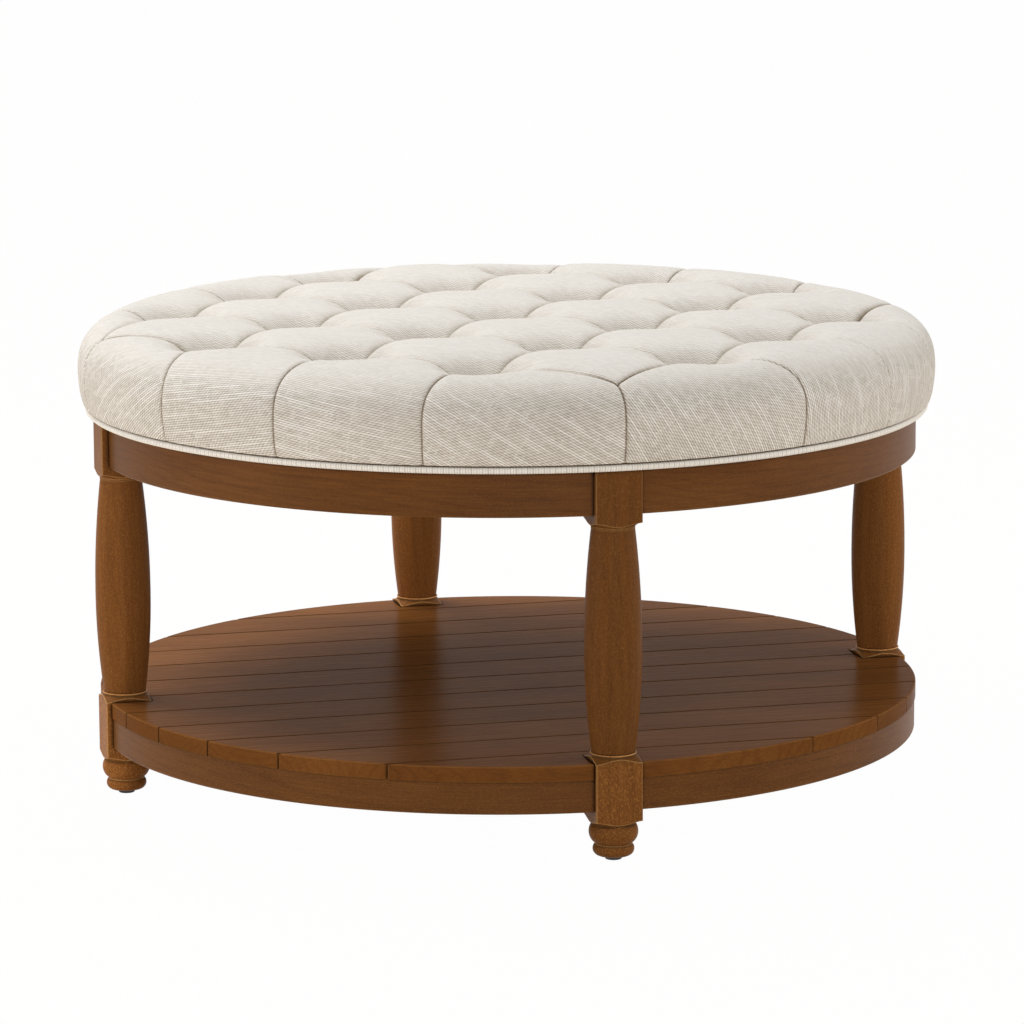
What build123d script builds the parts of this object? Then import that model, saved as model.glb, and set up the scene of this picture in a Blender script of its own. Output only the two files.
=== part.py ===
# Round tufted ottoman coffee table: a padded seat on four turned legs, with a slatted shelf below.
# Millimetres, +Z up, origin on the floor under the table's middle.
# The legs stand on the X and Y axes, the front leg on -Y, and the shelf boards run along X.
import os
from math import sqrt
from build123d import *

# Sizes of the whole table
cushion_diameter = 825.5
overall_height = 457.2
cushion_height = 94.0  # from the apron up to the cushion's crown
shelf_top_height = 93.0  # which leaves 228.6 clear between the shelf and the apron

# Rings of wood, set in from the cushion's widest line
apron_setback = 15.75
apron_height = 41.6
rim_setback = 14.75
rim_height = 30.0
rail_thickness = 20.0
rail_edge_round = 1.5

# Turned legs
leg_axis_inset = 15.5  # from the apron's outer face in to the leg's axis
block_width = 44.0
block_edge_round = 1.2
top_block_drop = 6.7  # below the apron, at the block's corners
lower_block_rise = 0.3  # above the shelf boards, at the block's corners
lower_block_drop = 9.0  # below the shelf rim, at the block's corners
shoulder_height = 5.0
shoulder_hollow = 1.1  # how far the shoulder's cove is cut below its straight slope
neck_inset = 1.7  # from the block's faces in to the turned neck
neck_ring_height = 1.8
vase_end_inset = 0.3  # from the neck in to the ends of the vase
vase_belly_radius = 26.5
vase_belly_share = 0.47
foot_bead_radius = 22.8
foot_bead_share = 0.752  # of the height from the glide up to the foot's neck
foot_waist_radius = 17.3
foot_waist_share = 0.391
foot_waist_length = 1.0
toe_radius = 19.2
toe_share = 0.215
toe_end_radius = 14.0

# Glides under the feet
glide_radius = 7.8
glide_height = 3.8
glide_edge_round = 1.0
glide_pin_radius = 2.4
glide_pin_length = 12.0

# Shelf
shelf_setback = 13.75
shelf_board_count = 12
shelf_board_thickness = 15.0
shelf_board_gap = 1.5
shelf_board_edge = 0.9
last_joint_inset = 38.5  # from the leg's axis in to the joint before the outermost board
leg_notch_clearance = 0.6
batten_width = 45.0
batten_offset = 150.0

# Blocks behind the legs, and battens of the same height under the shelf
seat_brace_lip = 6.6  # how far the apron hangs below the seat braces
shelf_bearer_lip = 10.0  # how far the rim hangs below the shelf braces and battens
brace_depth = 24.5
brace_half_length = 62.0
brace_inner_half_length = 44.0
brace_screw_offset = 42.0
brace_screw_setback = 7.5  # from the leg block's inner face towards the middle

# Seat
seat_board_setback = 10.55
seat_board_thickness = 12.0
welt_radius = 3.3
cushion_base_setback = 3.75
cushion_widest_rise = 33.2  # from the cushion's base up to its widest line
cushion_edge_width = 47.75  # the rounded edge, from the widest line in to the top
cushion_crown_width = 110.0  # from the rounded edge in to the flat middle
cushion_crown_rise = 3.0
cover_thickness = 2.0
dust_cover_gap = 3.0
dust_cover_thickness = 0.8

# Tufting: pits on a square lattice turned by 45 degrees
tuft_rows = 3  # lattice steps from the middle out to the last row
tuft_edge_inset = 56.0  # from the rounded edge in to the last row
tuft_mouth_radius = 30.0
tuft_floor_radius = 5.0
tuft_depth = 26.0
twine_radius = 1.0
twine_hole_radius = 1.5

# Dowels, bolts and screws
dowel_radius = 4.0
dowel_end_wall = 3.0  # wood left between a dowel's end and the bolt in the leg
apron_dowel_inset = 11.0
bolt_radius = 4.0
bolt_grip = 30.0  # length inside the leg
bolt_end_length = 2.4  # past the nut
washer_radius = 8.0
washer_thickness = 1.6
nut_across_flats = 13.0
nut_height = 6.5
screw_radius = 2.2
screw_head_radius = 4.4
screw_head_height = 2.4
screw_point_length = 4.0
seat_screw_cover = 2.0  # wood left above the point
board_screw_cover = 4.0
fit = 0.1  # play round dowels, pins, bolts and screws
bore_end_gap = 1.0
overrun = 5.0  # how far a cut runs past what it cuts

# Radii that follow
cushion_radius = cushion_diameter / 2
cushion_base_radius = cushion_radius - cushion_base_setback
cushion_edge_radius = cushion_radius - cushion_edge_width
cushion_flat_radius = cushion_edge_radius - cushion_crown_width
seat_board_radius = cushion_radius - seat_board_setback
apron_radius = cushion_radius - apron_setback
rim_radius = cushion_radius - rim_setback
shelf_radius = cushion_radius - shelf_setback
leg_axis_radius = apron_radius - leg_axis_inset
half_block = block_width / 2
block_corner_radius = sqrt(2) * half_block
block_inner_radius = leg_axis_radius - half_block
brace_inner_radius = block_inner_radius - brace_depth
dust_cover_radius = brace_inner_radius - dust_cover_gap
neck_radius = half_block - neck_inset
vase_end_radius = neck_radius - vase_end_inset

# Heights that follow
apron_top = overall_height - cushion_height
apron_bottom = apron_top - apron_height
seat_brace_bottom = apron_bottom + seat_brace_lip
seat_brace_height = apron_top - seat_brace_bottom
board_underside = shelf_top_height - shelf_board_thickness
rim_bottom = board_underside - rim_height
bearer_bottom = rim_bottom + shelf_bearer_lip
shelf_bearer_height = board_underside - bearer_bottom
lower_block_bottom = rim_bottom - lower_block_drop
cushion_base_height = apron_top + 2 * welt_radius
cushion_widest_height = cushion_base_height + cushion_widest_rise

# Lengths that follow
tuft_pitch = (cushion_edge_radius - tuft_edge_inset) / tuft_rows
shelf_board_pitch = (leg_axis_radius - last_joint_inset) / (shelf_board_count / 2 - 1)
dowel_length = 2 * (half_block - bolt_radius - dowel_end_wall)
bolt_length = bolt_grip + brace_depth + washer_thickness + nut_height + bolt_end_length
seat_screw_length = seat_brace_height + seat_board_thickness - seat_screw_cover
board_screw_length = shelf_bearer_height + shelf_board_thickness - board_screw_cover

leg_angles = {"right": 0, "back": 90, "left": 180, "front": 270}
rail_angles = {"back_right": 0, "back_left": 90, "front_left": 180, "front_right": 270}


def point(radius, height):
    return Vector(radius, 0, height)


def lathe(edges):
    return revolve(make_face(edges), Axis.Z)


def box_between(low, high):
    size = Vector(*high) - Vector(*low)
    middle = (Vector(*high) + Vector(*low)) / 2
    return Pos(middle) * Box(size.X, size.Y, size.Z)


def on_leg(shape, angle):
    return Rot(0, 0, angle) * Pos(leg_axis_radius, 0, 0) * shape


def shoulder(corner_height, end_height):
    # The cove from a block's corners to the turned neck
    corner = point(block_corner_radius, corner_height)
    end = point(neck_radius, end_height)
    hollow = shoulder_hollow if end_height < corner_height else -shoulder_hollow
    middle = (corner + end) / 2 + Vector(0, 0, hollow)
    return ThreePointArc(corner, middle, end)


# Legs, in their own frame: +X points away from the table's middle


def leg_block(bottom_corner, top_corner, top_end, open_top):
    bottom_end = bottom_corner - shoulder_height
    edges = [shoulder(bottom_corner, bottom_end)]
    edges += [Line(point(block_corner_radius, bottom_corner), point(block_corner_radius, top_corner))]
    if open_top:
        edges += [Line(point(block_corner_radius, top_corner), point(0, top_end))]
    else:
        edges += [shoulder(top_corner, top_end), Line(point(neck_radius, top_end), point(0, top_end))]
    edges += [Line(point(0, top_end), point(0, bottom_end))]
    edges += [Line(point(0, bottom_end), point(neck_radius, bottom_end))]
    turned = lathe(edges)
    low = (-half_block, -half_block, bottom_end)
    high = (half_block, half_block, top_end)
    square = box_between(low, high)
    square = fillet(square.edges().filter_by(Axis.Z), block_edge_round)
    return turned & square


def vase(bottom, top):
    belly = point(vase_belly_radius, bottom + vase_belly_share * (top - bottom))
    low = point(vase_end_radius, bottom)
    high = point(vase_end_radius, top)
    return lathe([
        Line(point(0, bottom), low),
        TangentArc(belly, low, tangent=(0, 0, -1)),
        TangentArc(belly, high, tangent=(0, 0, 1)),
        Line(high, point(0, top)),
        Line(point(0, top), point(0, bottom)),
    ])


def neck_ring(bottom):
    return Pos(0, 0, bottom + neck_ring_height / 2) * Cylinder(neck_radius, neck_ring_height)


def foot():
    top = lower_block_bottom - shoulder_height
    height = top - glide_height
    waist_height = glide_height + foot_waist_share * height
    neck = point(neck_radius, top)
    bead = point(foot_bead_radius, glide_height + foot_bead_share * height)
    waist = point(foot_waist_radius, waist_height)
    waist_end = point(foot_waist_radius, waist_height - foot_waist_length)
    toe = point(toe_radius, glide_height + toe_share * height)
    toe_end = point(toe_end_radius, glide_height)
    return lathe([
        Line(point(0, top), neck),
        ThreePointArc(neck, bead, waist),
        Line(waist, waist_end),
        ThreePointArc(waist_end, toe, toe_end),
        Line(toe_end, point(0, glide_height)),
        Line(point(0, glide_height), point(0, top)),
    ])


def turned_leg():
    lower_corner = shelf_top_height + lower_block_rise
    vase_bottom = lower_corner + shoulder_height + neck_ring_height
    upper_corner = apron_bottom - top_block_drop
    vase_top = upper_corner - shoulder_height - neck_ring_height
    leg = foot() + leg_block(lower_block_bottom, lower_corner, lower_corner + shoulder_height, False)
    leg += neck_ring(lower_corner + shoulder_height)
    leg += vase(vase_bottom, vase_top)
    leg += neck_ring(vase_top)
    leg += leg_block(upper_corner, apron_top, apron_top, True)
    return leg


def glide():
    disc = Pos(0, 0, glide_height / 2) * Cylinder(glide_radius, glide_height)
    disc = fillet(disc.edges().sort_by(Axis.Z)[0], glide_edge_round)
    return disc + glide_pin(glide_pin_radius, glide_pin_length)


def glide_pin(radius, length):
    return Pos(0, 0, glide_height + length / 2) * Cylinder(radius, length)


# Dowels, bolts and screws


def ring_dowels(ring_radius, heights, radius, length):
    # Dowels along the rail ends, half in the leg's block and half in the rail
    reach = half_block + dowel_length / 4
    rail_middle = ring_radius - rail_thickness / 2
    offset = sqrt(rail_middle**2 - reach**2)
    dowel = Rot(90, 0, 0) * Cylinder(radius, length)
    dowels = []
    for angle in leg_angles.values():
        for side in (-half_block, half_block):
            dowels += [Rot(0, 0, angle) * Pos(offset, side, height) * dowel for height in heights]
    return dowels


def apron_dowels(radius, length):
    heights = (apron_bottom + apron_dowel_inset, apron_top - apron_dowel_inset)
    return ring_dowels(apron_radius, heights, radius, length)


def rim_dowels(radius, length):
    return ring_dowels(rim_radius, (rim_bottom + rim_height / 2,), radius, length)


def at_braces(piece):
    # One copy behind each leg at the seat braces, and one at the shelf braces
    heights = ((seat_brace_bottom + apron_top) / 2, (bearer_bottom + board_underside) / 2)
    turned = Rot(0, -90, 0) * piece
    copies = []
    for angle in leg_angles.values():
        copies += [Rot(0, 0, angle) * Pos(brace_inner_radius, 0, height) * turned for height in heights]
    return copies


def from_base(shape, height):
    return Pos(0, 0, height / 2) * shape


def leg_bolts(radius, end_gap):
    length = bolt_length + end_gap
    end = brace_depth + bolt_grip + end_gap
    return at_braces(Pos(0, 0, length / 2 - end) * Cylinder(radius, length))


def leg_washers():
    ring = Cylinder(washer_radius, washer_thickness) - Cylinder(bolt_radius + fit, washer_thickness)
    return at_braces(from_base(ring, washer_thickness))


def leg_nuts():
    hexagon = RegularPolygon(nut_across_flats / 2, 6, major_radius=False)
    nut = extrude(hexagon - Circle(bolt_radius + fit), nut_height)
    return at_braces(Pos(0, 0, washer_thickness) * nut)


def screw(length, play=0, end_gap=0):
    # Countersunk screw standing on its head, point up
    shank = screw_radius + play
    head = screw_head_radius + play
    tip = length + end_gap
    return lathe([
        Line(point(0, 0), point(head, 0)),
        Line(point(head, 0), point(shank, screw_head_height)),
        Line(point(shank, screw_head_height), point(shank, tip - screw_point_length)),
        Line(point(shank, tip - screw_point_length), point(0, tip)),
        Line(point(0, tip), point(0, 0)),
    ])


def brace_screws(piece, height):
    reach = block_inner_radius - brace_screw_setback
    copies = []
    for angle in leg_angles.values():
        for side in (-brace_screw_offset, brace_screw_offset):
            copies += [Rot(0, 0, angle) * Pos(reach, side, height) * piece]
    return copies


def batten_screws(piece):
    reach = batten_reach() - batten_width / 2
    copies = []
    for x in (-batten_offset, batten_offset):
        copies += [Pos(x, y, bearer_bottom) * piece for y in board_middles() if abs(y) < reach]
    return copies


def seat_screws(play=0, end_gap=0):
    return brace_screws(screw(seat_screw_length, play, end_gap), seat_brace_bottom)


def board_screws(play=0, end_gap=0):
    piece = screw(board_screw_length, play, end_gap)
    return brace_screws(piece, bearer_bottom) + batten_screws(piece)


# Rings, braces and battens


def ring_rail(radius, bottom, height):
    # One quarter of a ring, cut square where it meets the leg blocks
    ring = Cylinder(radius, height) - Cylinder(radius - rail_thickness, height)
    reach = radius + overrun
    quarter = box_between((half_block, half_block, -height), (reach, reach, height))
    rail = Pos(0, 0, bottom + height / 2) * (ring & quarter)
    outer = rail.edges().filter_by(GeomType.CIRCLE).filter_by(lambda edge: abs(edge.radius - radius) < fit)
    return fillet(outer.sort_by(Axis.Z)[0], rail_edge_round)


def brace(ring_radius, bottom, height):
    # A block fitted between the two rails and notched round the leg's inner side
    inner = brace_inner_radius
    corner_radius = block_inner_radius
    outline = Polyline(
        (inner, -brace_inner_half_length),
        (corner_radius, -brace_half_length),
        (ring_radius, -brace_half_length),
        (ring_radius, brace_half_length),
        (corner_radius, brace_half_length),
        (inner, brace_inner_half_length),
        close=True,
    )
    block = Pos(0, 0, bottom) * extrude(make_face(outline), height)
    bore = Pos(0, 0, bottom + height / 2) * Cylinder(ring_radius - rail_thickness, height)
    notch = box_between(
        (block_inner_radius, -half_block, bottom - overrun), (ring_radius, half_block, bottom + height + overrun)
    )
    return (block & bore) - notch


def batten_reach():
    return sqrt((rim_radius - rail_thickness) ** 2 - (batten_offset + batten_width / 2) ** 2)


def batten(x):
    half_width = batten_width / 2
    reach = rim_radius
    bar = box_between((x - half_width, -reach, bearer_bottom), (x + half_width, reach, board_underside))
    middle = Pos(0, 0, (bearer_bottom + board_underside) / 2)
    return bar & (middle * Cylinder(rim_radius - rail_thickness, shelf_bearer_height))


# Shelf boards


def board_middles():
    first = -(shelf_board_count - 1) / 2
    return [(first + index) * shelf_board_pitch for index in range(shelf_board_count)]


def shelf_board(middle):
    half_width = (shelf_board_pitch - shelf_board_gap) / 2
    height = (board_underside + shelf_top_height) / 2
    disc = Pos(0, 0, height) * Cylinder(shelf_radius, shelf_board_thickness)
    low = (-shelf_radius, middle - half_width, board_underside)
    high = (shelf_radius, middle + half_width, shelf_top_height)
    board = disc & box_between(low, high)
    notch_half = half_block + leg_notch_clearance
    notch_start = block_inner_radius - leg_notch_clearance
    for angle in leg_angles.values():
        notch = box_between(
            (notch_start, -notch_half, board_underside - overrun),
            (shelf_radius + overrun, notch_half, shelf_top_height + overrun),
        )
        board -= Rot(0, 0, angle) * notch
    top = board.faces().sort_by(Axis.Z)[-1]
    return chamfer(top.edges(), shelf_board_edge)


# Seat


def cushion_envelope(inset):
    # The padded shape without its tufts, shrunk by the inset all round
    widest = cushion_radius - inset
    base = cushion_base_height + inset
    top = overall_height - inset
    edge_end = point(cushion_edge_radius, top - cushion_crown_rise)
    flat_end = point(cushion_flat_radius, top)
    side_top = point(widest, cushion_widest_height)
    side_base = point(cushion_base_radius - inset, base)
    edge_width = widest - cushion_edge_radius
    edge_rise = edge_end.Z - cushion_widest_height
    plane = Plane.XZ * Pos(cushion_edge_radius, cushion_widest_height)
    return lathe([
        Line(point(0, base), side_base),
        TangentArc(side_top, side_base, tangent=(0, 0, -1)),
        plane * EllipticalCenterArc((0, 0), edge_width, edge_rise, arc_size=90),
        Line(edge_end, flat_end),
        Line(flat_end, point(0, top)),
        Line(point(0, top), point(0, base)),
    ])


def tuft_places():
    steps = range(-tuft_rows, tuft_rows + 1)
    places = []
    for column in steps:
        for row in steps:
            if (column + row) % 2 == 0 and column**2 + row**2 <= tuft_rows**2 + 1:
                places += [(column * tuft_pitch, row * tuft_pitch)]
    return places


def tuft_pits(inset):
    # Funnels that open upwards, carried past the top so that they cut clean through it
    flare = (tuft_mouth_radius - tuft_floor_radius) / tuft_depth
    height = tuft_depth + overrun
    pit = Cone(tuft_floor_radius + inset, tuft_floor_radius + inset + flare * height, height)
    middle = overall_height - inset - tuft_depth + height / 2
    return [Pos(x, y, middle) * pit for x, y in tuft_places()]


def board_disc():
    return Pos(0, 0, apron_top + seat_board_thickness / 2) * Cylinder(seat_board_radius, seat_board_thickness)


def padded_shape(inset):
    return cushion_envelope(inset) - tuft_pits(inset) - board_disc()


def twines(radius):
    # From the seat board's underside up to the tuft floors
    length = overall_height - tuft_depth - cover_thickness - apron_top
    return [Pos(x, y, apron_top + length / 2) * Cylinder(radius, length) for x, y in tuft_places()]


def seat_board():
    return board_disc() - twines(twine_hole_radius) - seat_screws(fit, bore_end_gap)


def welt_cord():
    return Pos(0, 0, apron_top + welt_radius) * Torus(seat_board_radius + welt_radius, welt_radius)


def dust_cover():
    return Pos(0, 0, apron_top - dust_cover_thickness / 2) * Cylinder(dust_cover_radius, dust_cover_thickness)


def group(solids):
    return Compound(children=list(solids))


def build_frame():
    nodes = {}
    dowel_bores = apron_dowels(dowel_radius + fit, dowel_length + 2 * bore_end_gap)
    dowel_bores += rim_dowels(dowel_radius + fit, dowel_length + 2 * bore_end_gap)
    bolt_bores = leg_bolts(bolt_radius + fit, bore_end_gap)
    pin_bore = glide_pin(glide_pin_radius + fit, glide_pin_length + bore_end_gap)
    leg = turned_leg() - pin_bore
    for side, angle in leg_angles.items():
        nodes[f"leg_{side}"] = on_leg(leg, angle) - dowel_bores - bolt_bores
    for side, angle in rail_angles.items():
        nodes[f"apron_rail_{side}"] = Rot(0, 0, angle) * ring_rail(apron_radius, apron_bottom, apron_height)
        nodes[f"shelf_rim_{side}"] = Rot(0, 0, angle) * ring_rail(rim_radius, rim_bottom, rim_height)
        nodes[f"apron_rail_{side}"] -= dowel_bores
        nodes[f"shelf_rim_{side}"] -= dowel_bores
    for side, angle in leg_angles.items():
        seat_brace = Rot(0, 0, angle) * brace(apron_radius, seat_brace_bottom, seat_brace_height)
        shelf_brace = Rot(0, 0, angle) * brace(rim_radius, bearer_bottom, shelf_bearer_height)
        nodes[f"seat_brace_{side}"] = seat_brace - bolt_bores - seat_screws(fit, bore_end_gap)
        nodes[f"shelf_brace_{side}"] = shelf_brace - bolt_bores - board_screws(fit, bore_end_gap)
    return nodes


def build_shelf():
    nodes = {}
    screw_bores = board_screws(fit, bore_end_gap)
    for number, middle in enumerate(board_middles(), start=1):
        nodes[f"shelf_board_{number:02d}"] = shelf_board(middle) - screw_bores
    nodes["shelf_batten_left"] = batten(-batten_offset) - screw_bores
    nodes["shelf_batten_right"] = batten(batten_offset) - screw_bores
    return nodes


def build_seat():
    nodes = {}
    nodes["seat_board"] = seat_board()
    nodes["foam_pad"] = padded_shape(cover_thickness) - twines(twine_hole_radius)
    nodes["cushion_cover"] = padded_shape(0) - (cushion_envelope(cover_thickness) - tuft_pits(cover_thickness))
    nodes["welt_cord"] = welt_cord()
    nodes["tuft_twines"] = group(twines(twine_radius))
    nodes["dust_cover"] = dust_cover()
    return nodes


def build_hardware():
    nodes = {}
    nodes["foot_glides"] = group(on_leg(glide(), angle) for angle in leg_angles.values())
    nodes["apron_dowels"] = group(apron_dowels(dowel_radius, dowel_length))
    nodes["rim_dowels"] = group(rim_dowels(dowel_radius, dowel_length))
    nodes["leg_bolts"] = group(leg_bolts(bolt_radius, 0))
    nodes["leg_washers"] = group(leg_washers())
    nodes["leg_nuts"] = group(leg_nuts())
    nodes["seat_screws"] = group(seat_screws())
    nodes["board_screws"] = group(board_screws())
    return nodes


os.makedirs("parts", exist_ok=True)
table = build_frame() | build_shelf() | build_seat() | build_hardware()
for name, shape in table.items():
    export_step(shape, f"parts/{name}.step")
    print(f"{name}: {len(shape.solids())} solids, {shape.volume:.0f} mm3")
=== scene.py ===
# Round tufted ottoman coffee table: cloth, wood and small parts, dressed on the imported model
import math
from functools import partial
import bpy
import numpy as np
from mathutils import Matrix, Vector


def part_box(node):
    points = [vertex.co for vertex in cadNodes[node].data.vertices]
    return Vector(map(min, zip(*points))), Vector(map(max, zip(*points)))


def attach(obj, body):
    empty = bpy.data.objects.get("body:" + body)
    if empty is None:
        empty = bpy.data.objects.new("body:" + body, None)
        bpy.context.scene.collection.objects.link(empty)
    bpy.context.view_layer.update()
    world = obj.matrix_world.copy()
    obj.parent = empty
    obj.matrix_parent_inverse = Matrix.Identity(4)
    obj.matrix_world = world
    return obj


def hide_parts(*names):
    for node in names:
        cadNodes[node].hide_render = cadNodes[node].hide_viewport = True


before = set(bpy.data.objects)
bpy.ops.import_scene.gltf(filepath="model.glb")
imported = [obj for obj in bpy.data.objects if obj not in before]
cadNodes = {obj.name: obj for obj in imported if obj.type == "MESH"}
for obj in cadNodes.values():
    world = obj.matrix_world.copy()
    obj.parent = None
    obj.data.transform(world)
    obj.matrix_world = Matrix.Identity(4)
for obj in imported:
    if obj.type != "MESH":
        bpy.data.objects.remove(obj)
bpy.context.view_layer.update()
print("frame loaded:", len(cadNodes), "nodes")

millimetre = 0.001


def linearFromHex(text):
    # sRGB hex to the linear colour that the shaders work in
    channels = [int(text[i:i + 2], 16) / 255 for i in (1, 3, 5)]
    linear = [c / 12.92 if c <= 0.04045 else ((c + 0.055) / 1.055) ** 2.4 for c in channels]
    return (*linear, 1.0)


def addNode(tree, kind, *inputs, **settings):
    # One shader node: its kind, with the operation after it, its sockets in turn or by name in a dictionary,
    # each linked or set, and its settings. A node given for a socket links the first output it has in use.
    kind, _, operation = kind.partition(" ")
    made = tree.nodes.new("ShaderNode" + kind)
    if operation:
        made.operation = operation
    for key, value in settings.items():
        setattr(made, key, value)
    if inputs and isinstance(inputs[0], dict):
        pairs = [(made.inputs[key], value) for key, value in inputs[0].items()]
    else:
        pairs = zip([socket for socket in made.inputs if socket.enabled], inputs)
    for socket, value in pairs:
        if isinstance(value, bpy.types.Node):
            value = next(output for output in value.outputs if output.enabled)
        if isinstance(value, bpy.types.NodeSocket):
            tree.links.new(value, socket)
        else:
            socket.default_value = linearFromHex(value) if isinstance(value, str) else value
    return made


def clearNodes(owner):
    # Empties the nodes of a material or the world, and gives back addNode for its tree
    owner.use_nodes = True
    owner.node_tree.nodes.clear()
    return partial(addNode, owner.node_tree)


def emptyMaterial(name):
    material = bpy.data.materials.new(name)
    return material, clearNodes(material)


def placeInMillimetres(add):
    return add("VectorMath SCALE", add("TexCoord").outputs["Object"], 1 / millimetre)


def stretchedNoise(add, place, size, detail, roughness=0.55):
    # Noise whose features have these sizes in millimetres along, across and into the grain
    scaled = add("VectorMath MULTIPLY", place, tuple(1 / s for s in size))
    return add("TexNoise", scaled, 1.0, detail, roughness)


def mixed(add, level, *shares):
    # A level with a share of each pattern added
    for pattern, share in shares:
        level = add("Math MULTIPLY_ADD", pattern, share, level)
    return level


def setStops(ramp, *stops):
    # Each stop of a colour ramp is a position and a colour; the ramp has its first two from the start
    elements = ramp.color_ramp.elements
    for number, (position, shade) in enumerate(stops):
        stop = elements[number] if number < 2 else elements.new(position)
        stop.position = position
        stop.color = linearFromHex(shade)


def painted(add, colour, *coats):
    # A colour with each coat laid over it where its mask is
    for mask, coat in coats:
        colour = add("Mix", mask, colour, coat, data_type="RGBA")
    return colour


def finishMaterial(add, height, bump, looks, **under):
    # Bump of a strength and a depth in millimetres, then the surface with these looks, then the output
    strength, depthMm = bump
    normal = add("Bump", {"Strength": strength, "Distance": depthMm * millimetre, "Height": height, **under})
    add("OutputMaterial", add("BsdfPrincipled", {**looks, "Normal": normal}))


def nodeBox(name):
    low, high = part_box(name)
    return np.array(low) / millimetre, np.array(high) / millimetre


def distances(points):
    return np.linalg.norm(points, axis=-1)


def fullTurn(count):
    return np.arange(count) * 2 * math.pi / count


def shortTurn(angle):
    # The same angle, between minus and plus half a turn
    return (angle + math.pi) % (2 * math.pi) - math.pi


def addObject(name, data):
    made = bpy.data.objects.new(name, data)
    bpy.context.scene.collection.objects.link(made)
    return made


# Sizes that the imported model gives, in millimetres
boardLow, boardHigh = nodeBox("shelf_board_07")
boardPitch = nodeBox("shelf_board_08")[0][1] - boardLow[1]
shelfTop = boardHigh[2]
apronRadius = nodeBox("apron_rail_front_right")[1][0]
seatLow, seatHigh = nodeBox("seat_board")
dustRadius = nodeBox("dust_cover")[1][0]
cushionRadius, _, cushionTop = nodeBox("cushion_cover")[1]
weltLow, weltHigh = nodeBox("welt_cord")


# Stained wood: birch, chestnut stain, sprayed satin lacquer.
# The eye sees a warm brown with a soft mottle, fine long streaks and lighter worn edges, which also carry a
# painted highlight.
wood = {
    "darkHex": "#5b371c",
    "midHex": "#724722",
    "lightHex": "#8b5b30",
    "fleckHex": "#a87238",
    "edgeWearHighlightHex": "#c2965f",
    # the colour of the painted shade in the joints and in the gaps between boards
    "paintedShadeHex": "#150b05",
    "streakMm": (48.0, 1.3, 1.3),  # along, across and into the grain
    "poreMm": (9.0, 0.8, 0.8),  # real pores are 0.2 mm wide, drawn coarser so that they show
    "fleckMm": (1.76, 1.1, 1.1),
    "mottleMm": (140.0, 70.0, 70.0),
    "bandMm": (330.0, 13.0, 13.0),  # soft bands that run up the legs
    "ringMm": 6.5,
    "driftMm": (260.0, 60.0, 60.0),
    "edgeMm": 1.7,
    "jointShadeMm": 5.0,  # how far from a joint the painted shade reaches
    "gapShadeMm": (0.8, 2.0),  # from a gap's middle, the painted shade is dark up to here and fades out here
    "bump": (0.5, 0.05),
}


def grainCoordinates(add, layout):
    # The place in the wood, in millimetres: along the grain, across it and into it
    parts = add("SeparateXYZ", placeInMillimetres(add)).outputs
    if layout == "boards":
        piece = add("Math FLOOR", add("Math DIVIDE", parts[1], boardPitch))
        along, across, into = parts[0], parts[1], parts[2]
    elif layout == "legs":
        turn = add("Math ARCTAN2", parts[1], parts[0])
        quarter = add("Math FLOOR", add("Math MULTIPLY_ADD", turn, 2 / math.pi, 2.5))
        piece = add("Math FLOORED_MODULO", quarter, 4.0)
        along, across, into = parts[2], parts[0], parts[1]
    else:
        turn = add("Math ARCTAN2", parts[1], parts[0])
        along = add("Math MULTIPLY", turn, apronRadius)
        piece = add("Math FLOOR", add("Math MULTIPLY", turn, 2 / math.pi))
        into = add("VectorMath LENGTH", add("CombineXYZ", parts[0], parts[1]))
        across = parts[2]
    shift = add("TexWhiteNoise", piece, noise_dimensions="1D").outputs["Color"]
    spread = add("VectorMath SCALE", shift, 900.0)
    lined = add("CombineXYZ", along, across, into)
    return add("VectorMath ADD", lined, spread), shift, piece


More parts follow.
